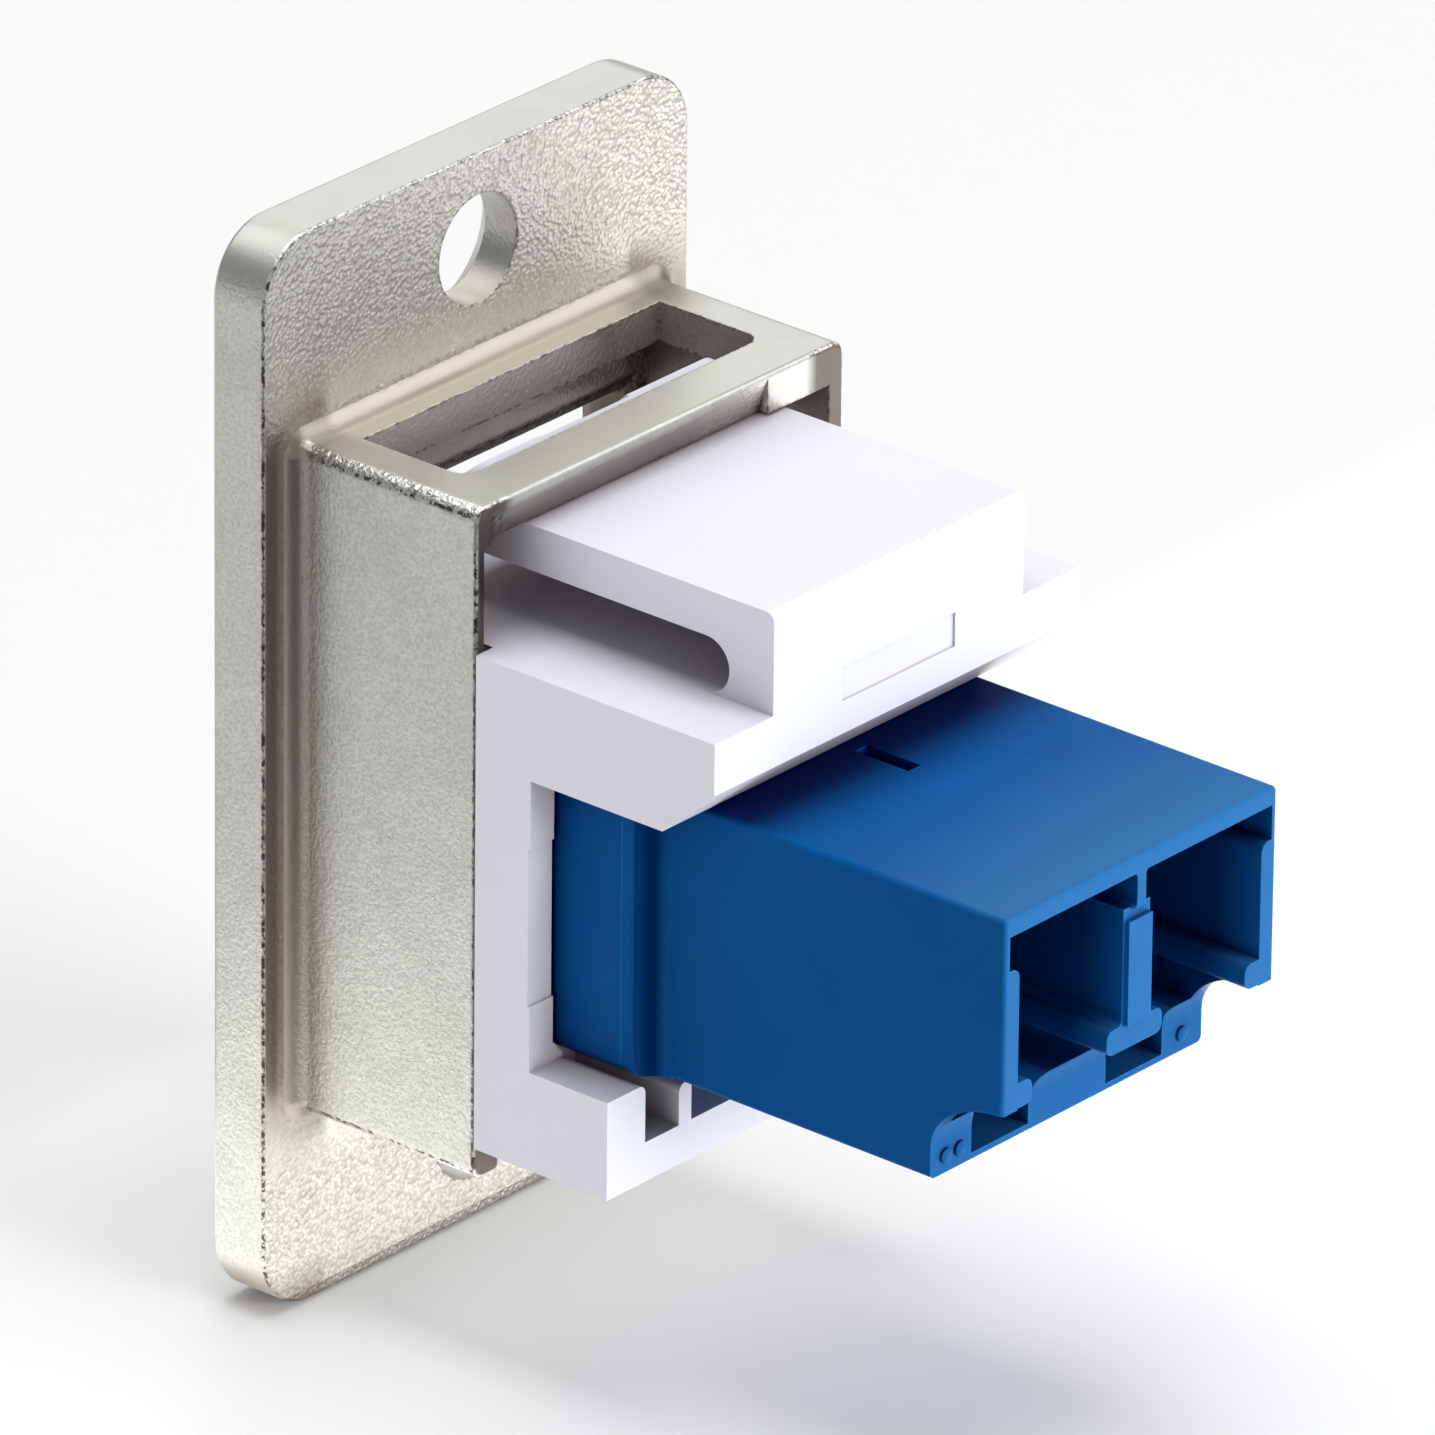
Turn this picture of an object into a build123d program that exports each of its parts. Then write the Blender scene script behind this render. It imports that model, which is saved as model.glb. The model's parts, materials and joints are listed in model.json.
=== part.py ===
from build123d import *
from math import radians, tan
import os

os.makedirs("parts", exist_ok=True)

# A duplex fibre adapter in a snap-in holder, carried by a die-cast panel bracket.
# X is the width, +Y points behind the panel and +Z is up, all in millimetres.
# The origin is midway between the screw holes, on the plate face that lies on the panel.
# Each size is given once, and the outer pieces grow with what they hold.

# Adapter section, from the divider outwards and from the roof down
divider_width = 1.25
divider_top_width = 0.4
divider_recess = 0.18
divider_round = 0.2
web_round = 0.15
port_width = 5.125
port_wall = 0.7
step_wall = 0.23
roof_wall = 0.6
step_height = 1.145
step_round = 0.35
port_height = 3.9
rail_reach = 0.68
rail_height = 0.85
rail_round = 0.3
latch_space_height = 1.3
lip_height = 1.755
mid_lip_round = 0.8
side_lip_round = 0.3
latch_slot_width = 2.7
latch_slot_depth = 6.0
latch_slot_skin = 0.205

# Adapter lengthwise, two welded halves with the mating plane in the middle
adapter_length = 28.9
adapter_corner = 0.2
end_round = 0.15
web_thickness = 0.9
ear_reach = 0.85
ear_length = 3.7
ear_rim = 0.47
ear_corner = 0.5
pad_width = 1.1
pad_drop = 0.4
scoop_length = 2.78
scoop_lip = 1.095
scoop_margin = 0.05
top_slot_width = 0.6
top_slot_length = 2.15
top_slot_start = 3.3
top_slot_depth = 0.45

# Alignment sleeves, split ceramic tubes trapped between the two halves
ferrule_pitch = 6.25
ferrule_drop = 2.445
sleeve_diameter = 1.6
sleeve_wall = 0.18
sleeve_length = 6.8
sleeve_slit = 0.25
sleeve_gap = 0.05
boss_wall = 0.6
boss_lip = 0.45
boss_mouth = 1.42
boss_flare = 30

# Holder, a standard snap-in module round the adapter
adapter_gap = 0.05
cheek = 0.85
brow = 3.205
chin = 3.345
shoulder = 0.5
nose_lift = 0.25
ledge_rise = 0.38
ear_gap = 0.2
ear_drop_gap = 0.265
side_plate_lap = 1.13
side_plate_relief = 0.08
side_plate_relief_top = 2.27
side_plate_relief_bottom = 1.955
gusset_width = 0.45
gusset_height = 0.2
upper_bar_reach = 4.76
upper_bar_rear_height = 1.72
upper_bar_chamfer = 2.05

# Lower bar of the holder, with a trough and two ribs
lower_bar_reach = 0.61
trough_wall = 1.78
trough_depth = 1.99
trough_start = 0.1
trough_round = 0.3
rib_thickness = 0.59
rib_offset = 1.875
rib_height = 1.39

# Latch arm of the holder, a springy tongue rooted at the rear
arm_side_gap = 2.015
arm_thickness = 1.52
arm_root = 1.76
arm_edge = 0.3
arm_overlap = 0.5
slot_height = 1.87
catch_height = 1.08
catch_land = 0.75
catch_ramp = 1.4
catch_round = 0.8
catch_dip = 0.13
catch_dip_left = 1.5
catch_dip_right = 2.6

# Fixed nib under the holder, which hooks into the collar's bottom wall
nib_width = 8.0
nib_start = 2.2
nib_length = 1.4
nib_height = 0.8

# Bracket: plate, and the collar that reaches through the panel
plate_thickness = 2.15
plate_margin = 1.3
plate_corner = 2.2
plate_edge = 0.25
plate_rear_edge = 0.12
screw_hole = 3.6
screw_reach = 3.65
screw_margin = 3.2
collar_depth = 7.5
collar_corner = 0.5
collar_root = 0.8
collar_rim = 0.15
side_wall = 0.7
top_wall = 1.35
bottom_wall = 1.1

# Clearances between the bracket and the holder
body_gap = 0.1
floor_gap = 0.05
nose_gap = 0.14
arm_gap = 0.08
catch_gap = 0.08
nib_gap = 0.3

# Cut-outs of the bracket
mouth_headroom = 1.16
mouth_lead_in = 1.5
mouth_side_round = 0.4
window_start = 1.4
window_side = 0.97
window_corner = 0.6
rear_bar = 1.92
relief_depth = 0.35
relief_end = 2.9
relief_round = 0.3
stub_length = 0.7
notch_depth = 1.9
notch_corner = 0.4

# Widths, each built on the one inside it
port_outer = divider_width / 2 + port_width
adapter_half = port_outer + port_wall
ear_half = adapter_half + ear_reach
nose_half = adapter_half + cheek
body_half = nose_half + shoulder
cavity_half = body_half + body_gap
collar_half = cavity_half + side_wall
mouth_half = nose_half + nose_gap
arm_half = cavity_half - arm_side_gap
window_half = cavity_half - window_side
trough_half = collar_half - trough_wall

# Levels, from the collar's bottom upwards
adapter_height = roof_wall + step_height + port_height + rail_height + latch_space_height + lip_height
nose_height = chin + adapter_height + brow
latch_height = ledge_rise + slot_height + arm_thickness + arm_gap
collar_height = bottom_wall + floor_gap + nose_lift + nose_height + latch_height + top_wall
collar_top = collar_height / 2
cavity_bottom = bottom_wall - collar_top
cavity_top = collar_top - top_wall
body_bottom = cavity_bottom + floor_gap
nose_bottom = body_bottom + nose_lift
nose_top = nose_bottom + nose_height
ledge = nose_top + ledge_rise
arm_bottom = ledge + slot_height
arm_top = arm_bottom + arm_thickness
adapter_bottom = nose_bottom + chin
adapter_top = adapter_bottom + adapter_height
port_top = adapter_top - roof_wall
port_step = port_top - step_height
port_floor = port_step - port_height
rail_bottom = port_floor - rail_height
lip_top = rail_bottom - latch_space_height
ferrule_level = port_top - ferrule_drop
bar_underside = adapter_top + adapter_gap
lower_bar_top = adapter_bottom - ear_drop_gap
trough_floor = lower_bar_top - trough_depth
screw_spacing = collar_height + 2 * screw_reach
plate_height = screw_spacing + 2 * screw_margin

# Depths, from the panel face to the rear
weld = adapter_length / 2 - plate_thickness
adapter_rear = weld + adapter_length / 2
ear_front = weld - ear_length
side_plate_rear = ear_front + side_plate_lap
lower_bar_rear = weld + lower_bar_reach
upper_bar_rear = weld + upper_bar_reach
window_rear = collar_depth - rear_bar
sleeve_seat = sleeve_length / 2 + sleeve_gap
tiny = 0.01


def across(y):
    # Sketch plane at depth y, with x across and y up, that extrudes to the front
    return Plane.XZ.offset(-y)


def block(left, right, bottom, top, mode=Mode.ADD):
    # Rectangle given by its four sides
    with Locations(((left + right) / 2, (bottom + top) / 2)):
        Rectangle(right - left, top - bottom, mode=mode)


def centred(half, bottom, top, mode=Mode.ADD):
    # Rectangle that reaches as far left as right
    block(-half, half, bottom, top, mode)


def corners_at(sketch, level):
    # Corners of a sketch across the adapter at one level, from left to right
    return sketch.vertices().filter_by_position(Axis.Y, level - tiny, level + tiny).sort_by(Axis.X)


def ferrule_axes():
    # Where the two ferrules run, on a sketch plane across the adapter
    return Locations((-ferrule_pitch / 2, ferrule_level), (ferrule_pitch / 2, ferrule_level))


with BuildPart() as mounting_bracket:
    # Plate with softened edges
    with BuildSketch(across(0)):
        RectangleRounded(2 * (collar_half + plate_margin), plate_height, plate_corner)
    extrude(amount=plate_thickness)
    fillet(faces().sort_by(Axis.Y)[0].edges(), plate_edge)
    fillet(faces().sort_by(Axis.Y)[-1].edges(), plate_rear_edge)
    # Collar, run out into the plate by a fillet
    with BuildSketch(across(collar_depth)):
        RectangleRounded(2 * collar_half, collar_height, collar_corner)
    extrude(amount=collar_depth)
    plate_rear = faces().filter_by(Axis.Y).filter_by_position(Axis.Y, -tiny, tiny)
    fillet(plate_rear[0].inner_wires()[0].edges(), collar_root)
    fillet(faces().sort_by(Axis.Y)[-1].edges(), collar_rim)
    # Cavity of the collar
    with BuildSketch(across(collar_depth)):
        centred(cavity_half, cavity_bottom, cavity_top)
    extrude(amount=collar_depth, mode=Mode.SUBTRACT)
    # Mouth through the plate, with a round lead-in at its top
    mouth_bottom = nose_bottom - nose_gap
    mouth_top = nose_top + mouth_headroom
    with BuildSketch(Plane.YZ):
        with BuildLine():
            Polyline((-mouth_lead_in, mouth_top), (-plate_thickness, mouth_top),
                     (-plate_thickness, mouth_bottom), (tiny, mouth_bottom),
                     (tiny, mouth_top + mouth_lead_in), (0, mouth_top + mouth_lead_in))
            CenterArc((-mouth_lead_in, mouth_top + mouth_lead_in), mouth_lead_in, -90, 90)
        make_face()
    extrude(amount=mouth_half, both=True, mode=Mode.SUBTRACT)
    mouth_sides = edges().filter_by(Axis.Z).filter_by_position(Axis.Y, -tiny, tiny)
    mouth_sides = mouth_sides.filter_by_position(Axis.X, -mouth_half - tiny, mouth_half + tiny)
    fillet(mouth_sides, min(mouth_side_round, cavity_half - mouth_half - tiny))
    # Window for the latch, square in front and round behind
    with BuildSketch(Plane.XY.offset(collar_top)) as window:
        centred(window_half, window_start, window_rear)
        fillet(window.vertices().group_by(Axis.Y)[-1], window_corner)
    extrude(amount=-top_wall, mode=Mode.SUBTRACT)
    # Sloping relief in the rear bar, which ends before the far wall, and a bevel down the near wall
    relief_top = collar_top - collar_rim
    relief_fall = relief_top - cavity_top
    slope = Plane(origin=(0, collar_depth, relief_top), x_dir=(1, 0, 0),
                  z_dir=(0, relief_fall, -relief_depth))
    with BuildSketch(slope) as relief:
        block(relief_end - cavity_half, cavity_half, 0, relief_fall + relief_depth)
        fillet(relief.vertices().group_by(Axis.X)[0].sort_by(Axis.Y)[-1], relief_round)
    extrude(amount=relief_depth, mode=Mode.SUBTRACT)
    with BuildSketch(Plane.XY.offset(ledge)):
        with BuildLine():
            Polyline((cavity_half, collar_depth), (cavity_half + relief_depth, collar_depth),
                     (cavity_half, collar_depth - relief_depth), close=True)
        make_face()
    extrude(amount=cavity_top - ledge, mode=Mode.SUBTRACT)
    # Notch in the bottom wall, open to the rear, with rounded stubs beside it
    notch_half = cavity_half - stub_length
    with BuildSketch(Plane.XY.offset(cavity_bottom)) as notch:
        centred(notch_half, collar_depth - notch_depth, collar_depth)
        fillet(notch.vertices().group_by(Axis.Y)[0], notch_corner)
    extrude(amount=-bottom_wall, mode=Mode.SUBTRACT)
    stubs = edges().filter_by(Axis.Z).filter_by_position(Axis.Z, -collar_top, cavity_bottom)
    stubs = stubs.filter_by_position(Axis.Y, collar_depth - tiny, collar_depth + tiny)
    stubs = stubs.filter_by_position(Axis.X, -notch_half - tiny, notch_half + tiny)
    fillet(stubs, notch_corner)
    # Slot in the bottom wall for the holder's nib
    with BuildSketch(Plane.XY.offset(cavity_bottom)):
        centred(nib_width / 2 + nib_gap, nib_start - nib_gap, nib_start + nib_length + nib_gap)
    extrude(amount=-bottom_wall, mode=Mode.SUBTRACT)
    # Screw holes
    with BuildSketch(across(0)):
        with GridLocations(0, screw_spacing, 1, 2):
            Circle(screw_hole / 2)
    extrude(amount=plate_thickness, mode=Mode.SUBTRACT)
mounting_bracket.part.label = "mounting_bracket"
export_step(mounting_bracket.part, "parts/mounting_bracket.step")

with BuildPart() as keystone_holder:
    # Nose in the plate's mouth, flush with the plate
    with BuildSketch(across(body_gap)):
        centred(nose_half, nose_bottom, nose_top)
    extrude(amount=plate_thickness + body_gap)
    # Body in the collar
    with BuildSketch(across(collar_depth)):
        centred(body_half, body_bottom, ledge)
    extrude(amount=collar_depth - body_gap)
    # Side plates behind the collar, which stop against its rim
    with BuildSketch(across(side_plate_rear)):
        centred(collar_half, body_bottom, ledge)
    extrude(amount=side_plate_rear - collar_depth)
    # Upper bar, undercut by a slope
    with BuildSketch(Plane.YZ):
        with BuildLine():
            Polyline((collar_depth, bar_underside), (collar_depth, ledge),
                     (upper_bar_rear, ledge), (upper_bar_rear, ledge - upper_bar_rear_height),
                     (upper_bar_rear - upper_bar_chamfer, bar_underside), close=True)
        make_face()
    extrude(amount=collar_half, both=True)
    # Lower bar
    with BuildSketch(across(lower_bar_rear)):
        centred(collar_half, body_bottom, lower_bar_top)
    extrude(amount=lower_bar_rear - collar_depth)
    # Channel for the adapter
    with BuildSketch(across(upper_bar_rear)):
        centred(adapter_half + adapter_gap, adapter_bottom - adapter_gap, bar_underside)
    extrude(amount=upper_bar_rear + plate_thickness, mode=Mode.SUBTRACT)
    # Wider seat for the ears, with a gusset in each lower corner
    with BuildSketch(across(upper_bar_rear)):
        centred(ear_half + ear_gap, lower_bar_top, bar_underside)
    extrude(amount=upper_bar_rear - ear_front, mode=Mode.SUBTRACT)
    gusset_inner = ear_half + ear_gap - gusset_width
    with BuildSketch(across(side_plate_rear)):
        with BuildLine():
            Polyline((gusset_inner, lower_bar_top), (ear_half + ear_gap, lower_bar_top),
                     (ear_half + ear_gap, lower_bar_top + gusset_height + gusset_width),
                     (gusset_inner, lower_bar_top + gusset_height), close=True)
        make_face()
        mirror(about=Plane.YZ)
    extrude(amount=side_plate_rear - ear_front)
    # Shallow step in the rear of the side plates
    with BuildSketch(across(side_plate_rear)):
        centred(collar_half, adapter_bottom + side_plate_relief_bottom, adapter_top - side_plate_relief_top)
    extrude(amount=side_plate_relief, mode=Mode.SUBTRACT)
    # Trough in the lower bar, its rim rounded, and its two ribs
    with BuildSketch(across(lower_bar_rear)):
        with BuildLine():
            CenterArc((trough_half + trough_round, lower_bar_top - trough_round), trough_round, 90, 90)
            Polyline((trough_half, lower_bar_top - trough_round), (trough_half, trough_floor),
                     (0, trough_floor), (0, lower_bar_top), (trough_half + trough_round, lower_bar_top))
        make_face()
        mirror(about=Plane.YZ)
    trough_length = lower_bar_rear - ear_front - trough_start
    rib_shoulder = trough_floor + rib_height - rib_thickness / 2
    extrude(amount=trough_length, mode=Mode.SUBTRACT)
    with BuildSketch(across(lower_bar_rear)):
        with GridLocations(2 * (trough_half - rib_offset), 0, 2, 1):
            centred(rib_thickness / 2, trough_floor, rib_shoulder)
            with Locations((0, rib_shoulder)):
                Circle(rib_thickness / 2)
    extrude(amount=trough_length)
    # Latch arm over its slot, with the catch that springs into the window
    slot_radius = slot_height / 2
    slot_centre = upper_bar_rear - arm_root - slot_radius
    catch_rear = window_rear - catch_gap
    catch_front = catch_rear - catch_land
    catch_top = arm_top + catch_height
    with BuildSketch(Plane.YZ) as arm:
        with BuildLine():
            Polyline((slot_centre, ledge), (slot_centre, ledge - arm_overlap),
                     (upper_bar_rear, ledge - arm_overlap), (upper_bar_rear, arm_top),
                     (catch_rear, arm_top), (catch_rear, catch_top), (catch_front, catch_top),
                     (catch_front - catch_ramp, catch_top - catch_ramp),
                     (catch_front - catch_ramp, arm_bottom), (slot_centre, arm_bottom))
            CenterArc((slot_centre, ledge + slot_radius), slot_radius, -90, 180)
        make_face()
        fillet(arm.vertices().group_by(Axis.X)[-1].sort_by(Axis.Y)[-1], arm_edge)
    extrude(amount=arm_half, both=True)
    catch_ends = edges().filter_by(Axis.Y).filter_by_position(Axis.Z, catch_top - tiny, catch_top + tiny)
    fillet(catch_ends, catch_round)
    # Dip in the catch's ramp
    with BuildSketch(Plane.YZ.offset(-catch_dip_left)):
        with BuildLine():
            Polyline((catch_front + catch_dip, catch_top), (catch_front, catch_top),
                     (catch_front - catch_ramp, catch_top - catch_ramp),
                     (catch_front - catch_ramp + catch_dip, catch_top - catch_ramp), close=True)
        make_face()
    extrude(amount=catch_dip_left + catch_dip_right, mode=Mode.SUBTRACT)
    # Nib under the body
    with BuildSketch(Plane.YZ):
        with BuildLine():
            Polyline((nib_start, body_bottom), (nib_start + nib_length, body_bottom),
                     (nib_start + nib_length, body_bottom - nib_height),
                     (nib_start + nib_length / 2, body_bottom - nib_height), close=True)
        make_face()
    extrude(amount=nib_width / 2, both=True)
keystone_holder.part.label = "keystone_holder"
export_step(keystone_holder.part, "parts/keystone_holder.step")

with BuildPart() as half:
    # Outer block of one half
    with BuildSketch(across(adapter_rear)) as outline:
        centred(adapter_half, adapter_bottom, adapter_top)
        fillet(outline.vertices(), adapter_corner)
    extrude(amount=adapter_length / 2)
    # Two ports, stepped beside the roof with a rounded step, over rails that end in rounded noses
    inner_nose = divider_width / 2 + rail_reach
    outer_nose = port_outer - rail_reach
    with BuildSketch(across(adapter_rear)) as ports:
        centred(adapter_half - step_wall, port_step, port_top)
        centred(divider_top_width / 2, port_step, port_top, mode=Mode.SUBTRACT)
        centred(port_outer, port_floor, port_step)
        centred(divider_width / 2, port_floor, port_step, mode=Mode.SUBTRACT)
        centred(outer_nose, rail_bottom, port_floor)
        centred(inner_nose, rail_bottom, port_floor, mode=Mode.SUBTRACT)
        centred(port_outer, lip_top, rail_bottom)
        fillet(corners_at(ports, port_floor)[3:5], divider_round)
        floors = corners_at(ports, port_floor)
        fillet(floors[1:3] + floors[5:7] + corners_at(ports, rail_bottom)[1:5], rail_round)
        fillet(corners_at(ports, port_step)[1::5], step_round)
        fillet(corners_at(ports, port_step)[3:5] + corners_at(ports, port_top)[1:3], web_round)
    extrude(amount=adapter_length / 2 - web_thickness, mode=Mode.SUBTRACT)
    # Slots for the plugs' latches in the lip under the ports
    with BuildSketch(across(adapter_rear)) as latch_slots:
        centred(port_outer, lip_top, rail_bottom)
        with GridLocations(divider_width + port_width, 0, 2, 1):
            centred(latch_slot_width / 2, adapter_bottom + latch_slot_skin, lip_top)
        fillet(corners_at(latch_slots, lip_top)[2:4], mid_lip_round)
        fillet(corners_at(latch_slots, lip_top)[1::3], side_lip_round)
    extrude(amount=scoop_length + latch_slot_depth, mode=Mode.SUBTRACT)
    # Scoop that frees the plugs' latches at the lower edge
    scoop_level = adapter_bottom + scoop_lip
    scoop_top = rail_bottom - scoop_margin
    scoop_front = adapter_rear - scoop_length
    with BuildSketch(Plane.YZ):
        with BuildLine():
            Polyline((scoop_front, scoop_level), (scoop_front, adapter_bottom),
                     (adapter_rear, adapter_bottom), (adapter_rear, scoop_top))
            EllipticalCenterArc((adapter_rear, scoop_level), scoop_length, scoop_top - scoop_level,
                                90, arc_size=90)
        make_face()
    extrude(amount=adapter_half, both=True, mode=Mode.SUBTRACT)
    # Softened outer edge of the end, over the roof and down both walls
    rims = edges().filter_by_position(Axis.Y, adapter_rear - tiny, adapter_rear + tiny).filter_by(Axis.Z)
    fillet(rims.group_by(Axis.X)[0] + rims.group_by(Axis.X)[-1], end_round)
    # Bosses that hold the sleeves, with a flared lip at the mouth
    with BuildSketch(across(weld + sleeve_seat + boss_lip)):
        with ferrule_axes():
            Circle(sleeve_diameter / 2 + sleeve_gap + boss_wall)
    extrude(amount=sleeve_seat + boss_lip)
    with BuildSketch(across(weld + sleeve_seat)):
        with ferrule_axes():
            Circle(sleeve_diameter / 2 + sleeve_gap)
    extrude(amount=sleeve_seat, mode=Mode.SUBTRACT)
    with BuildSketch(across(weld + sleeve_seat + boss_lip)):
        with ferrule_axes():
            Circle(boss_mouth / 2 + boss_lip * tan(radians(boss_flare)))
    extrude(amount=boss_lip, taper=boss_flare, mode=Mode.SUBTRACT)
    # Divider's end, set back from the walls apart from a raised pad
    with BuildSketch(across(adapter_rear)):
        centred(inner_nose, rail_bottom, port_step)
        centred(pad_width / 2, port_floor, port_step - pad_drop, mode=Mode.SUBTRACT)
    extrude(amount=divider_recess, mode=Mode.SUBTRACT)

with BuildPart() as rear_ears:
    # Rear rim of the ears, run out into the sides by a hollow curve
    rim_rear = weld + ear_rim
    rim_end = rim_rear + ear_reach
    ear_inner = adapter_half - adapter_corner
    with BuildSketch(Plane.XY.offset(adapter_bottom)):
        with BuildLine():
            Polyline((adapter_half, rim_end), (ear_inner, rim_end), (ear_inner, weld),
                     (ear_half, weld), (ear_half, rim_rear))
            CenterArc((ear_half, rim_end), ear_reach, 180, 90)
        make_face()
        mirror(about=Plane.YZ)
    extrude(amount=adapter_height)
    with BuildSketch(across(rim_end)) as rear_outline:
        centred(ear_half, adapter_bottom, adapter_top)
        fillet(rear_outline.vertices(), ear_corner)
    extrude(amount=rim_end - weld, mode=Mode.INTERSECT)

with BuildPart() as adapter_rear_half:
    add(half.part)
    add(rear_ears.part)
    # Narrow slot in the roof
    with BuildSketch(Plane.XY.offset(adapter_top)):
        centred(top_slot_width / 2, weld + top_slot_start, weld + top_slot_start + top_slot_length)
    extrude(amount=-top_slot_depth, mode=Mode.SUBTRACT)
adapter_rear_half.part.label = "adapter_rear_half"
export_step(adapter_rear_half.part, "parts/adapter_rear_half.step")

with BuildPart() as adapter_front_half:
    mirror(half.part, about=across(weld))
    # Ears, seated against the step in the holder and bevelled over its gussets
    with BuildSketch(across(weld)) as ears:
        centred(ear_half, adapter_bottom, adapter_top)
        fillet(ears.vertices(), ear_corner)
        centred(ear_inner, adapter_bottom, adapter_top, mode=Mode.SUBTRACT)
    extrude(amount=ear_length)
adapter_front_half.part.label = "adapter_front_half"
export_step(adapter_front_half.part, "parts/adapter_front_half.step")

with BuildPart() as sleeve:
    # Split tube about the mating plane
    with BuildSketch(across(weld + sleeve_length / 2)):
        Circle(sleeve_diameter / 2)
        Circle(sleeve_diameter / 2 - sleeve_wall, mode=Mode.SUBTRACT)
        block(-sleeve_slit / 2, sleeve_slit / 2, 0, sleeve_diameter, mode=Mode.SUBTRACT)
    extrude(amount=sleeve_length)

for side, x in (("left", -ferrule_pitch / 2), ("right", ferrule_pitch / 2)):
    placed = sleeve.part.moved(Location((x, 0, ferrule_level)))
    placed.label = f"alignment_sleeve_{side}"
    export_step(placed, f"parts/alignment_sleeve_{side}.step")
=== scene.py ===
import json
from math import cos, radians, sin
import bpy
from mathutils import Matrix, Vector

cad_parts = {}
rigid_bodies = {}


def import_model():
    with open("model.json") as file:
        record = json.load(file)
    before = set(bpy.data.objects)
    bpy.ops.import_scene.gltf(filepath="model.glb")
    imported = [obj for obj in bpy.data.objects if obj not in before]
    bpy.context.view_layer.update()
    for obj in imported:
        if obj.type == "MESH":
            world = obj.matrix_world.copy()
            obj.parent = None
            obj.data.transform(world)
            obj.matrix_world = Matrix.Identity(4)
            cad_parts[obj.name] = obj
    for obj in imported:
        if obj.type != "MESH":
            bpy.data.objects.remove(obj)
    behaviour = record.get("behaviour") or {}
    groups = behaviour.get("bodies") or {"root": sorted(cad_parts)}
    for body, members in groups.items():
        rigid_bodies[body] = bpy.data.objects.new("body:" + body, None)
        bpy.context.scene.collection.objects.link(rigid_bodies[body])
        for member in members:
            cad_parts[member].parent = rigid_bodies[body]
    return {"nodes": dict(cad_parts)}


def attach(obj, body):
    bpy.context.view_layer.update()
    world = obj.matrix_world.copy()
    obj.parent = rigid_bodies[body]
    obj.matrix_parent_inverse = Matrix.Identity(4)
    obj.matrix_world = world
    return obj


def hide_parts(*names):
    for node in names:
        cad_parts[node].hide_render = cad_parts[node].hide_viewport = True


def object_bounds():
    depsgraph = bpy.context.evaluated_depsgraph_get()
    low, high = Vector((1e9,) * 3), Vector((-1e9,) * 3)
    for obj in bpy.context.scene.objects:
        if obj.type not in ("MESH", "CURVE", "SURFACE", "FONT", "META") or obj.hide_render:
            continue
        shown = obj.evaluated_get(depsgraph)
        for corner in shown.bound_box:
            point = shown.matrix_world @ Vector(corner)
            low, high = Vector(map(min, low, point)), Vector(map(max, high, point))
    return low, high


# Looks for a duplex fibre adapter in its snap-in holder and nickel-plated panel bracket
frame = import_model()
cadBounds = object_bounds()
scene = bpy.context.scene
scene.view_settings.view_transform = "Standard"

# Camera at the viewing angle of the photograph
view = {
    "azimuth": 130.381,             # degrees round from the front
    "elevation": 25.182,
    "roll": 0.605,
    "distance": 0.620132,
    "target": (-0.0013157, 0.0087229, 0.0013560),
    "lens": 505.19,                 # millimetres, as is the sensor
    "sensor": 36,
    "farthest": 10,
}


def placeCamera():
    turn, lift, roll = (radians(view[key]) for key in ("azimuth", "elevation", "roll"))
    back = Vector((sin(turn) * cos(lift), -cos(turn) * cos(lift), sin(lift)))
    level = Vector((0, 0, 1)).cross(back).normalized()
    upright = back.cross(level)
    right = level * cos(roll) + upright * sin(roll)
    up = upright * cos(roll) - level * sin(roll)
    bpy.ops.object.camera_add()
    camera = bpy.context.object
    camera.name = "studioCamera"
    camera.matrix_world = Matrix.Translation(Vector(view["target"]) + back * view["distance"]) @ Matrix(
        (right, up, back)).transposed().to_4x4()
    camera.data.sensor_fit = "HORIZONTAL"
    camera.data.sensor_width = view["sensor"]
    camera.data.lens = view["lens"]
    camera.data.clip_end = view["farthest"]
    scene.camera = camera


placeCamera()
print("camera placed")


class Wire:
    # A value in a material, which can be used in plain arithmetic
    def __init__(self, finish, socket):
        self.finish = finish
        self.socket = socket

    def maths(self, operation, first, second):
        return self.finish.add("ShaderNodeMath", {0: first, 1: second}, operation=operation)

    def __add__(self, other):
        return self.maths("ADD", self, other)

    def __radd__(self, other):
        return self.maths("ADD", other, self)

    def __sub__(self, other):
        return self.maths("SUBTRACT", self, other)

    def __rsub__(self, other):
        return self.maths("SUBTRACT", other, self)

    def __mul__(self, other):
        return self.maths("MULTIPLY", self, other)

    def __rmul__(self, other):
        return self.maths("MULTIPLY", other, self)


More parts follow.
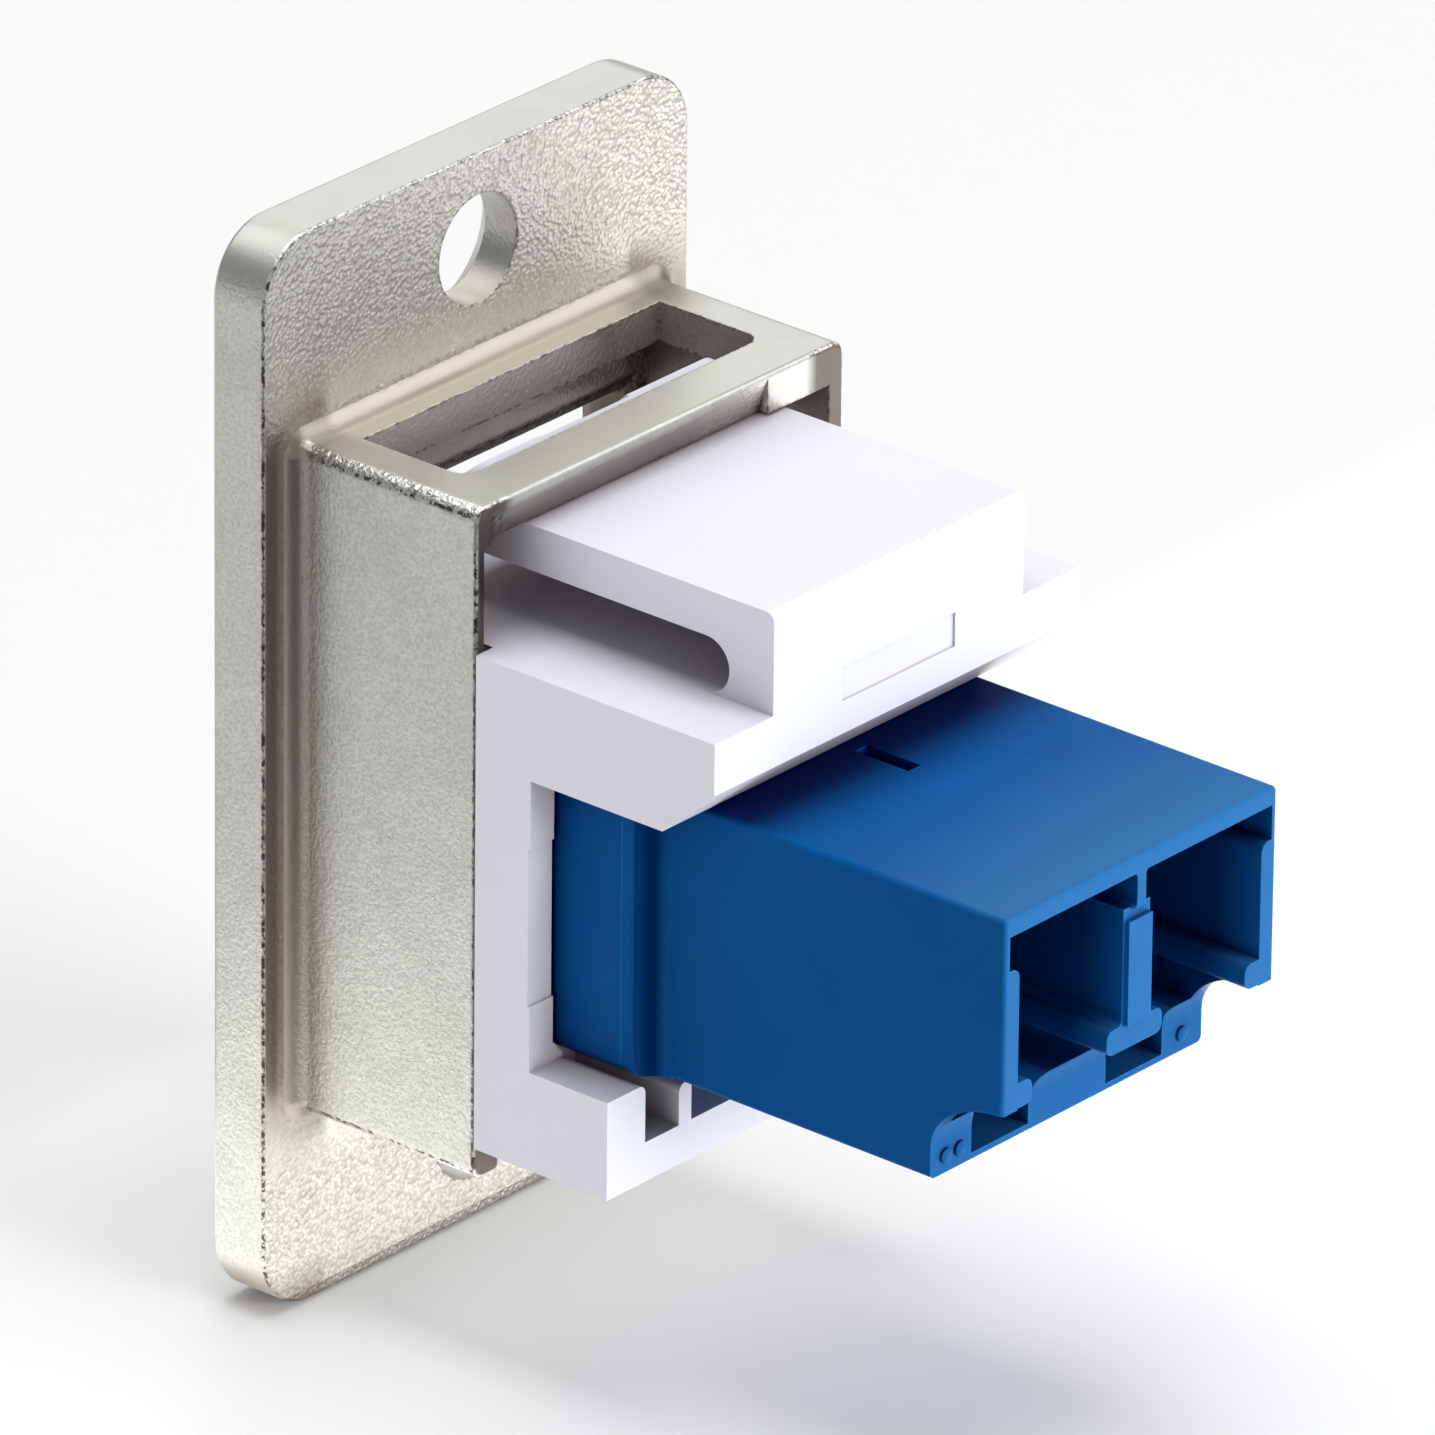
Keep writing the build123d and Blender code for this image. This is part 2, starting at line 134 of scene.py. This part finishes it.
class Finish:
    # A material whose nodes are added one call at a time
    bevelSamples = 6
    closedSamples = 4
    faintestEdge = 0.002            # smaller bends than this count as flat

    def __init__(self, name):
        self.material = bpy.data.materials.new(name)
        self.material.use_nodes = True
        self.tree = self.material.node_tree
        self.shader = self.tree.nodes["Principled BSDF"]
        self.place = self.add("ShaderNodeTexCoord", output="Object")

    def add(self, kind, inputs=None, output=0, **settings):
        node = self.tree.nodes.new(kind)
        for key, value in settings.items():
            setattr(node, key, value)
        for key, value in (inputs or {}).items():
            self.feed(node.inputs[key], value)
        return Wire(self, node.outputs[output])

    def feed(self, socket, value):
        if isinstance(value, Wire):
            self.tree.links.new(value.socket, socket)
        elif isinstance(value, tuple) and socket.type == "RGBA":
            socket.default_value = (*value, 1)
        else:
            socket.default_value = value

    def set(self, **values):
        for key, value in values.items():
            self.feed(self.shader.inputs[key.replace("_", " ")], value)

    def noise(self, scale, detail=2.0, roughness=0.5, distortion=0.0):
        return self.add("ShaderNodeTexNoise", {"Vector": self.place, "Scale": scale, "Detail": detail,
                                               "Roughness": roughness, "Distortion": distortion})

    def cells(self, scale, smoothness):
        return self.add("ShaderNodeTexVoronoi", {"Vector": self.place, "Scale": scale,
                                                 "Smoothness": smoothness}, feature="SMOOTH_F1")

    def ramp(self, value, low, high):
        # 0 up to low, 1 from high, and straight between them
        return self.add("ShaderNodeMapRange", {"Value": value, "From Min": low, "From Max": high})

    def band(self, value, rise, fall):
        # 1 between two ramps, and 0 outside them
        return self.ramp(value, *rise) * (1 - self.ramp(value, *fall))

    def limit(self, value):
        return self.ramp(value, 0, 1)

    def layered(self, palette, base, layers):
        # Shades of a palette laid over its base, each as far as its mask says
        shade = palette[base]
        for name, mask in layers:
            # The colours of a Mix node are its sockets 6 and 7
            shade = self.add("ShaderNodeMix", {0: mask, 6: shade, 7: palette[name]}, output=2,
                             data_type="RGBA")
        return shade

    def rounded(self, radius):
        return self.add("ShaderNodeBevel", {"Radius": radius}, samples=self.bevelSamples)

    def edges(self, radius, gain):
        # 1 near an edge and 0 on the flats
        plain = self.add("ShaderNodeNewGeometry", output="Normal")
        facing = self.add("ShaderNodeVectorMath", {0: self.rounded(radius), 1: plain}, output="Value",
                          operation="DOT_PRODUCT")
        return self.ramp(1 - facing, self.faintestEdge, gain)

    def facing(self, axis):
        # How far the surface faces along an axis, either way
        normal = self.add("ShaderNodeNewGeometry", output="Normal")
        return self.size(self.add("ShaderNodeSeparateXYZ", {"Vector": normal}, output=axis))

    def along(self, axis):
        # Where a point is along an axis, in metres
        return self.add("ShaderNodeSeparateXYZ", {"Vector": self.place}, output=axis)

    def size(self, value):
        return self.add("ShaderNodeMath", {0: value}, operation="ABSOLUTE")

    def closed(self, reach):
        # How much of what a point faces is nearer than the reach
        return 1 - self.add("ShaderNodeAmbientOcclusion", {"Distance": reach}, output="AO",
                            samples=self.closedSamples)

    def recess(self, reach, low, high):
        # 0 in the open and 1 in a recess
        return self.ramp(self.closed(reach), low, high)

    def bump(self, height, strength, depth, normal=None):
        inputs = {"Height": height, "Strength": strength, "Distance": depth}
        if normal:
            inputs["Normal"] = normal
        return self.add("ShaderNodeBump", inputs)


# Satin nickel over a zinc casting: pebbled on its faces, specked along its edges, with painted shade in its
# hollows and painted glints on its upper edges
nickel = {
    "light": (0.60, 0.595, 0.555),
    "pebble": (0.665, 0.652, 0.61),
    "warm": (0.74, 0.69, 0.60),
    # painted shade on the rounding at the collar's root
    "filletShade": (0.42, 0.39, 0.335),
    # painted shade on rear-facing faces at the collar's sides, from 4 mm back from the plate
    "mouthShade": (0.075, 0.058, 0.045),
    # pits, spots and stains of the plating, and painted shade on the collar's far rear-facing flats
    "wearAndShade": (0.13, 0.115, 0.095),
    # dark specks on the edges, part pitting of the plating and part painted shade
    "speck": (0.035, 0.030, 0.025),
    # painted highlight: glints on the upper edges and crests, and a lighter sloping relief
    "paintedHighlight": (0.95, 0.94, 0.90),
    # painted shade in recesses and creases, and on the plate beside the collar's root
    "recess": (0.20, 0.155, 0.115),
    "pebbleScale": 6600,            # per metre, as are the other scales
    "pebbleSmoothness": 0.4,
    "lumpScale": 4600,
    "grainScale": 7600,
    "cloudScale": 420,
    "pebblesFrom": (0.0108, 0.0140),    # height from the middle where they begin, and where they are full
    "collarSide": (0.0068, 0.0073),     # across from the middle
    "depths": {                     # along Y from the rear of the plate; each is where a ramp begins and ends
        "root": (0.0006, 0.0030),
        "mouth": (0.004, 0.006),
        "far": (0.008, 0.010),
        "plateEdge": ((-0.0004, -0.0003), (0.00002, 0.00008)),
        "collarEnd": (0.0030, 0.0035),
        "ridge": (0.0002, 0.0008),
    },
    "turned": {                     # how far the surface faces along an axis
        "square": (0.80, 0.98),
        "slope": ((0.15, 0.35), (0.90, 0.98)),
        "ridge": (0.20, 0.35),
        "upper": (0.45, 0.70),
        "crest": ((0.70, 0.82), (0.975, 0.995)),
    },
    "deep": (0.004, 0.35, 0.95),    # reach, and the ramp of what is closed, for the painted shade in recesses
    "crease": (0.0018, 0.10, 0.36),
    "edgeWidth": 0.00020,
    "edgeGain": 0.12,
    "roundness": 0.00008,
    "bumpStrength": 0.8,
    "bumpDepth": 0.00008,
    "roughness": 0.32,
}


def nickelFinish():
    finish = Finish("satinNickel")
    depths, turned = nickel["depths"], nickel["turned"]
    pebbles = finish.cells(nickel["pebbleScale"], nickel["pebbleSmoothness"])
    lumps = finish.noise(nickel["lumpScale"], detail=2, roughness=0.6)
    grain = finish.noise(nickel["grainScale"], detail=3, roughness=0.6)
    cloud = finish.noise(nickel["cloudScale"], detail=4, roughness=0.6)

    # Which way the surface faces
    sideways, rearways, upwards = (finish.facing(axis) for axis in "XYZ")
    flat, lid, wall = (finish.ramp(way, *turned["square"]) for way in (rearways, upwards, sideways))
    slope = finish.band(rearways, *turned["slope"])
    upper = finish.ramp(upwards, *turned["upper"])

    # Where it is on the casting
    depth = finish.along("Y")
    outer = finish.ramp(finish.size(finish.along("Z")), *nickel["pebblesFrom"])
    beside = finish.ramp(finish.size(finish.along("X")), *nickel["collarSide"])
    near = (1 - outer) * (1 - finish.ramp(depth, *depths["root"])) * (1 - wall)
    root = near * (1 - beside)
    # Rear-facing faces at the collar's sides, from 4 mm back from the plate, which get painted shade
    mouth = flat * beside * finish.ramp(depth, *depths["mouth"])
    far = (1 - beside) * finish.ramp(depth, *depths["far"])
    # The sloping relief at the far end, which gets painted highlight
    relief = slope * far
    # Recesses and creases, by how closed in they are, which take painted shade
    deep = finish.recess(*nickel["deep"]) * (1 - lid * 0.7)
    crease = finish.recess(*nickel["crease"]) * (1 - lid) * beside
    pebbled = flat * finish.limit(outer + deep * 1.5)

    # The roundings at the rear of the plate and at the collar's ends and long sides, and any other edge
    rim = slope * (finish.band(depth, *depths["plateEdge"])
                   + finish.ramp(depth, *depths["collarEnd"]) * beside)
    ridge = (finish.ramp(sideways, *turned["ridge"]) * finish.ramp(upwards, *turned["ridge"])
             * finish.ramp(depth, *depths["ridge"]))
    edge = finish.limit(finish.edges(nickel["edgeWidth"], nickel["edgeGain"])
                        + (rim + ridge) * (1 - crease))
    crest = finish.band(upwards, *turned["crest"]) * far

    # Dark specks on the edges, part pitting and part painted shade, as upward-facing edges get half as many;
    # painted glints on the upper edges and crests; pits, spots and stains of the plating
    speck = edge * (1 - upper * 0.5) * finish.ramp(lumps, 0.49, 0.56)
    paintedHighlight = (finish.limit(edge * upper + crest) * finish.ramp(lumps, 0.40, 0.46)
             * finish.ramp(grain, 0.48, 0.56))
    pit = finish.ramp(pebbles, 0.35, 0.70) * pebbled
    spot = finish.ramp(grain, 0.38, 0.66) * wall
    stain = finish.ramp(cloud, 0.45, 0.8)

    shade = finish.layered(nickel, "light", (
        ("pebble", pebbled),
        ("wearAndShade", pit * 0.28 + spot * 0.25 + stain * 0.08),
        ("warm", root * (1 - crease) * (1 - deep) * 0.9),
        # painted shade on the rounding at the collar's root
        ("filletShade", root * slope * 0.9),
        # painted shade in recesses
        ("recess", deep * (1 - relief * 0.8) * 0.9),
        # painted shade in creases and on the plate beside the collar's root
        ("recess", finish.limit(crease + near * beside * 0.6) * 0.75),
        # painted shade at the collar's sides
        ("mouthShade", mouth * 0.85),
        # painted shade on the far rear-facing flats
        ("wearAndShade", flat * far * 0.30),
        # painted highlight on the sloping relief
        ("paintedHighlight", relief * 0.55),
        # dark specks on the edges, part pitting and part painted shade
        ("speck", speck * 0.9),
        # painted glints on the upper edges and crests
        ("paintedHighlight", paintedHighlight * 0.9),
    ))
    height = (pebbles * pebbled * -1.1 + grain * (0.16 + wall * 0.40 + pebbled * 0.3) * (1 - lid * 0.6)
              + lumps * edge * 1.2)
    finish.set(
        Base_Color=shade,
        Metallic=1.0,
        Roughness=nickel["roughness"] + cloud * 0.10 + pit * 0.1 + crease * 0.2,
        Normal=finish.bump(height, nickel["bumpStrength"], nickel["bumpDepth"],
                           finish.rounded(nickel["roundness"])),
    )
    return finish.material


# White moulded plastic, semi-matt, with painted shade in its recesses
white = {
    "clean": (0.86, 0.86, 0.945),
    "shaded": (0.84, 0.84, 0.925),
    # painted shade in recesses, and darker painted shade where they are deepest
    "recess": (0.46, 0.43, 0.47),
    "depths": (0.24, 0.17, 0.17),
    "cloudScale": 160,              # per metre, as is the other scale
    "grainScale": 9000,
    "reach": 0.003,                 # how near the faces are that darken a recess with painted shade
    "bumpStrength": 0.12,
    "bumpDepth": 0.00002,
    "roughness": 0.42,
}


def whiteFinish():
    finish = Finish("whitePlastic")
    cloud = finish.noise(white["cloudScale"], detail=3)
    grain = finish.noise(white["grainScale"], detail=3, roughness=0.6)
    closed = finish.closed(white["reach"])
    finish.set(
        Base_Color=finish.layered(white, "clean", (
            ("shaded", finish.ramp(cloud, 0.3, 0.75)),
            # painted shade in recesses, darker where they are deepest
            ("recess", finish.ramp(closed, 0.10, 0.68) * 0.9),
            ("depths", finish.ramp(closed, 0.62, 1.0) * 0.8),
        )),
        Roughness=white["roughness"] + grain * 0.12,
        Normal=finish.bump(grain, white["bumpStrength"], white["bumpDepth"]),
    )
    return finish.material


# Blue moulded plastic, glossy with a trace of flow and dust, with painted highlights on its edges and towards
# the plug openings, and painted shade in its hollows, ports and crevices
blue = {
    "deep": (0.0030, 0.082, 0.290),
    "pale": (0.0045, 0.093, 0.320),
    # painted highlight along the edges
    "edge": (0.010, 0.200, 0.560),
    "mouth": (0.040, 0.190, 0.460),     # painted reflection, towards the plug openings
    "hollowShade": (0.0003, 0.012, 0.075),   # painted shade in the curve that runs from the ears into the sides
    # painted shade inside the ports and in crevices
    "recess": (0.0003, 0.005, 0.072),
    "flowScale": 240,               # per metre, as are the other scales
    "grainScale": 7000,
    "dustScale": 3600,
    "mouthFrom": (0.0205, 0.0262),
    "hollowDepths": ((0.01265, 0.01290), (0.0135, 0.0139)),
    "hollowSide": (0.00647, 0.00662),
    "portSide": (0.00600, 0.00625),
    "portHeights": ((-0.0050, -0.0046), (0.0020, 0.0023)),
    "portMouth": (0.0250, 0.0264),
    "crevice": (0.003, 0.18, 0.65),     # reach, and the ramp of what is closed, for the painted shade in crevices
    "edgeWidth": 0.00010,
    "edgeGain": 0.12,
    "bumpStrength": 0.10,
    "bumpDepth": 0.00004,
    "roughness": 0.24,
    "specular": 0.02,
    "tint": (0.30, 0.75, 1.0),
}


def blueFinish():
    finish = Finish("bluePlastic")
    flow = finish.noise(blue["flowScale"], detail=4, roughness=0.6, distortion=0.6)
    grain = finish.noise(blue["grainScale"], detail=2)
    dust = finish.ramp(finish.noise(blue["dustScale"], detail=1), 0.72, 0.80)
    across, depth, level = finish.size(finish.along("X")), finish.along("Y"), finish.along("Z")
    # Painted reflection towards the plug openings, on all but the side faces
    mouth = finish.ramp(depth, *blue["mouthFrom"]) * (1 - finish.facing("X"))
    # Painted shade in the curve behind the ears
    hollowShade = finish.band(depth, *blue["hollowDepths"]) * finish.ramp(across, *blue["hollowSide"])
    # Inside the ports, which get painted shade
    inside = ((1 - finish.ramp(across, *blue["portSide"])) * finish.band(level, *blue["portHeights"])
              * (1 - finish.ramp(depth, *blue["portMouth"])))
    finish.set(
        Base_Color=finish.layered(blue, "deep", (
            ("pale", finish.ramp(flow, 0.3, 0.7) + dust * 0.15),
            # painted reflection towards the plug openings
            ("mouth", mouth * 0.6),
            # painted highlight along the edges
            ("edge", finish.edges(blue["edgeWidth"], blue["edgeGain"]) * 0.7),
            # painted shade in the curve behind the ears
            ("hollowShade", hollowShade * 0.85),
            # painted shade inside the ports
            ("recess", inside * 0.68),
            # painted shade in crevices
            ("recess", finish.recess(*blue["crevice"])),
        )),
        Roughness=blue["roughness"] + flow * 0.10 + dust * 0.2,
        Specular_IOR_Level=blue["specular"],
        Specular_Tint=blue["tint"],
        Normal=finish.bump(flow + grain * 0.08, blue["bumpStrength"], blue["bumpDepth"]),
    )
    return finish.material


# Polished ceramic of the two sleeves
ceramic = {
    "body": (0.90, 0.885, 0.84),
    "tint": (0.84, 0.82, 0.76),
    "cloudScale": 900,              # per metre, as is the other scale
    "grainScale": 8000,
    "bumpStrength": 0.05,
    "bumpDepth": 0.00001,
    "roughness": 0.16,
}


def ceramicFinish():
    finish = Finish("whiteCeramic")
    cloud = finish.noise(ceramic["cloudScale"], detail=3)
    finish.set(
        Base_Color=finish.layered(ceramic, "body", (("tint", cloud),)),
        Roughness=ceramic["roughness"] + cloud * 0.08,
        Normal=finish.bump(finish.noise(ceramic["grainScale"]), ceramic["bumpStrength"],
                           ceramic["bumpDepth"]),
    )
    return finish.material


materials = {
    "nickel_zinc": nickelFinish(),
    "white_plastic": whiteFinish(),
    "blue_plastic": blueFinish(),
    "white_ceramic": ceramicFinish(),
}
print("materials made:", len(materials))


def deselectAll():
    if bpy.context.object and bpy.context.object.mode != "OBJECT":
        bpy.ops.object.mode_set(mode="OBJECT")
    bpy.ops.object.select_all(action="DESELECT")


def makeActive(piece):
    deselectAll()
    piece.select_set(True)
    bpy.context.view_layer.objects.active = piece


def paint(piece, slotName):
    piece.data.materials.clear()
    piece.data.materials.append(materials[slotName])


# How a copy of a CAD node is joined up, softened and shaded; the angles are degrees
copying = {"weld": 0.000002, "flatBelow": 1.0, "softenFrom": 28, "smoothBelow": 32}


def mergedCopy(nodeName, pieceName, slotName):
    # A copy of a CAD node with its triangles joined into faces, which stands for the node
    makeActive(frame["nodes"][nodeName])
    bpy.ops.object.duplicate()
    piece = bpy.context.object
    bpy.ops.object.parent_clear(type="CLEAR_KEEP_TRANSFORM")
    for key in list(piece.keys()):
        del piece[key]
    piece.name = pieceName
    piece.data.name = pieceName
    bpy.ops.object.mode_set(mode="EDIT")
    bpy.ops.mesh.select_all(action="SELECT")
    bpy.ops.mesh.remove_doubles(threshold=copying["weld"])
    bpy.ops.mesh.dissolve_limited(angle_limit=radians(copying["flatBelow"]))
    bpy.ops.mesh.normals_make_consistent(inside=False)
    bpy.ops.object.mode_set(mode="OBJECT")
    paint(piece, slotName)
    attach(piece, "root")
    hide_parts(nodeName)
    return piece


def soften(piece, width):
    makeActive(piece)
    bevel = piece.modifiers.new("softEdges", "BEVEL")
    bevel.width = width
    bevel.segments = 2
    bevel.limit_method = "ANGLE"
    bevel.angle_limit = radians(copying["softenFrom"])
    bevel.use_clamp_overlap = True
    bpy.ops.object.modifier_apply(modifier=bevel.name)


def turnedSolid(steps, sides, place):
    # A round solid along Y, built ring by ring; a step is a radius and a distance from the place
    deselectAll()
    (radius, reached), *later = steps
    bpy.ops.mesh.primitive_circle_add(vertices=sides, radius=radius, fill_type="NGON", location=place,
                                      rotation=(radians(90), 0, 0))
    solid = bpy.context.object
    bpy.ops.object.transform_apply(location=True, rotation=True, scale=True)
    bpy.ops.object.mode_set(mode="EDIT")
    bpy.ops.mesh.select_all(action="SELECT")
    for nextRadius, distance in later:
        bpy.ops.mesh.extrude_region_move(TRANSFORM_OT_translate={"value": (0, distance - reached, 0)})
        bpy.ops.transform.resize(value=(nextRadius / radius, 1, nextRadius / radius))
        radius, reached = nextRadius, distance
    bpy.ops.mesh.select_all(action="SELECT")
    bpy.ops.mesh.normals_make_consistent(inside=False)
    bpy.ops.object.mode_set(mode="OBJECT")
    return solid


def carve(piece, cutter):
    # Takes the cutter's shape out of the piece
    makeActive(piece)
    cut = piece.modifiers.new("carving", "BOOLEAN")
    cut.operation = "DIFFERENCE"
    cut.solver = "EXACT"
    cut.object = cutter
    bpy.ops.object.modifier_apply(modifier=cut.name)
    bpy.data.objects.remove(cutter)


def finishNormals(piece):
    makeActive(piece)
    bpy.ops.object.shade_smooth_by_angle(angle=radians(copying["smoothBelow"]))
    even = piece.modifiers.new("evenNormals", "WEIGHTED_NORMAL")
    even.keep_sharp = True
    bpy.ops.object.modifier_apply(modifier=even.name)


# Each screw hole is countersunk from the front, so that its straight part is short
countersink = {
    "height": 0.015,                # from the middle, up and down
    "front": -0.0030,               # in front of the plate, where the cutter begins
    "steps": ((0.0035, 0.0), (0.00182, 0.00168), (0.00182, 0.0040)),    # radius, and distance from there
    "sides": 72,
}


def buildBracket():
    casting = mergedCopy("mounting_bracket", "bracketCasting", "nickel_zinc")
    for side in (-1, 1):
        place = (0, countersink["front"], side * countersink["height"])
        carve(casting, turnedSolid(countersink["steps"], countersink["sides"], place))
    finishNormals(casting)


buildBracket()
print("bracket countersunk")

# The holder's rear bar has a shallow bare panel, sunk into it
holder = {
    "softness": 0.00012,
    "panelSize": (0.0053, 0.0004, 0.00115),
    "panelMiddle": (0, 0.01718, 0.006475),
}


def buildHolder():
    body = mergedCopy("keystone_holder", "holderBody", "white_plastic")
    soften(body, holder["softness"])
    deselectAll()
    bpy.ops.mesh.primitive_cube_add(size=1, location=holder["panelMiddle"])
    panel = bpy.context.object
    panel.scale = holder["panelSize"]
    bpy.ops.object.transform_apply(location=False, rotation=False, scale=True)
    carve(body, panel)
    finishNormals(body)


buildHolder()
print("holder softened")

# The adapter's two halves are moulded alike
housings = {
    "softness": 0.00008,
    "pieces": {"adapter_front_half": "frontHousing", "adapter_rear_half": "rearHousing"},
}
for nodeName, pieceName in housings["pieces"].items():
    housing = mergedCopy(nodeName, pieceName, "blue_plastic")
    soften(housing, housings["softness"])
    finishNormals(housing)
    print("softened", pieceName)

# Plain raised pips tell the two ports apart, one under the far port and two under the near one
pips = {
    "radius": 0.00024,
    "sides": 24,
    "root": 0.02390,                # just inside the lip's face
    "height": 0.00022,
    "straight": 0.75,               # share of the height below the taper
    "taper": 0.72,
    "smoothBelow": 50,              # degrees
    "level": -0.00600,
    "rows": {"farPip": (-0.00545,), "nearPips": (0.00512, 0.00578)},
}


def buildPips(pieceName, places):
    radius, height = pips["radius"], pips["height"]
    steps = ((radius, 0), (radius, height * pips["straight"]), (radius * pips["taper"], height))
    solids = [turnedSolid(steps, pips["sides"], (place, pips["root"], pips["level"])) for place in places]
    deselectAll()
    for solid in solids:
        solid.select_set(True)
        bpy.context.view_layer.objects.active = solid
    if len(solids) > 1:
        bpy.ops.object.join()
    bpy.ops.object.shade_smooth_by_angle(angle=radians(pips["smoothBelow"]))
    row = bpy.context.object
    row.name = pieceName
    row.data.name = pieceName
    paint(row, "blue_plastic")
    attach(row, "root")


for pieceName, places in pips["rows"].items():
    buildPips(pieceName, places)
    print("pips raised:", pieceName)

for side in ("left", "right"):
    paint(frame["nodes"][f"alignment_sleeve_{side}"], "white_ceramic")
print("carried-over nodes painted")


# Pale floor and soft studio light
studio = {
    "middle": (0, 0.01, 0),         # what the lamps and cards face
    "floorSize": 3.0,
    "floorShade": (0.93, 0.93, 0.93),
    "floorGap": 0.0001,
    "roughness": 0.9,               # of the floor and the cards
    "skyShade": (1.0, 1.0, 1.0),
    "skyStrength": 0.30,
    "lampSize": 0.50,
    "lamps": {                      # place, power, and whether reflections show it
        "topLamp": ((0.0, 0.02, 0.80), 3.6, True),
        "rearLamp": ((-0.15, 0.90, 0.24), 6.9, False),
        "sideLamp": ((0.85, 0.10, 0.35), 0.5, True),
        "backLamp": ((-0.62, -0.52, 0.42), 0.85, True),
    },
    "cardLift": 0.0005,
    "cards": {                      # place, size, shade and glow; a card without a height lies on the floor
        "darkCard": ((0.105, 0.092), 0.18, 0.02, 0.0),
        "brightCard": ((-0.035, 0.045), 0.12, 0.80, 1.18),
        "cornerCard": ((0.0, -0.42, 0.60), 0.62, 0.80, 0.62),
        "skyCard": ((-0.50, 0.36, 0.40), 0.66, 0.80, 1.10),
    },
}


def turnToMiddle(place, axis):
    return (Vector(studio["middle"]) - Vector(place)).to_track_quat(axis, "Y").to_euler()


def stagePlane(name, size, place, turn, **values):
    bpy.ops.mesh.primitive_plane_add(size=size, location=place, rotation=turn)
    plane = bpy.context.object
    plane.name = name
    finish = Finish(name + "Finish")
    finish.set(Roughness=studio["roughness"], **values)
    plane.data.materials.append(finish.material)
    return plane


def buildStudio():
    deselectAll()
    floorLevel = cadBounds[0][2] - studio["floorGap"]
    stagePlane("studioFloor", studio["floorSize"], (0, 0, floorLevel), (0, 0, 0),
               Base_Color=studio["floorShade"])
    for name, (place, size, shade, glow) in studio["cards"].items():
        turn = (0, 0, 0)
        if len(place) == 2:
            place = (*place, floorLevel + studio["cardLift"])
        else:
            turn = turnToMiddle(place, "Z")
        card = stagePlane(name, size, place, turn, Base_Color=(shade,) * 3,
                          Emission_Color=(1.0, 1.0, 1.0), Emission_Strength=glow)
        # Only reflections show a card
        card.visible_camera = card.visible_diffuse = card.visible_shadow = False
    for name, (place, power, reflected) in studio["lamps"].items():
        bpy.ops.object.light_add(type="AREA", location=place)
        lamp = bpy.context.object
        lamp.name = name
        lamp.data.shape = "SQUARE"
        lamp.data.size = studio["lampSize"]
        lamp.data.energy = power
        lamp.visible_glossy = reflected
        lamp.rotation_euler = turnToMiddle(place, "-Z")
    world = bpy.data.worlds.new("softSky")
    world.use_nodes = True
    sky = world.node_tree.nodes["Background"]
    sky.inputs["Color"].default_value = (*studio["skyShade"], 1)
    sky.inputs["Strength"].default_value = studio["skyStrength"]
    scene.world = world


buildStudio()
print("floor and lamps placed")
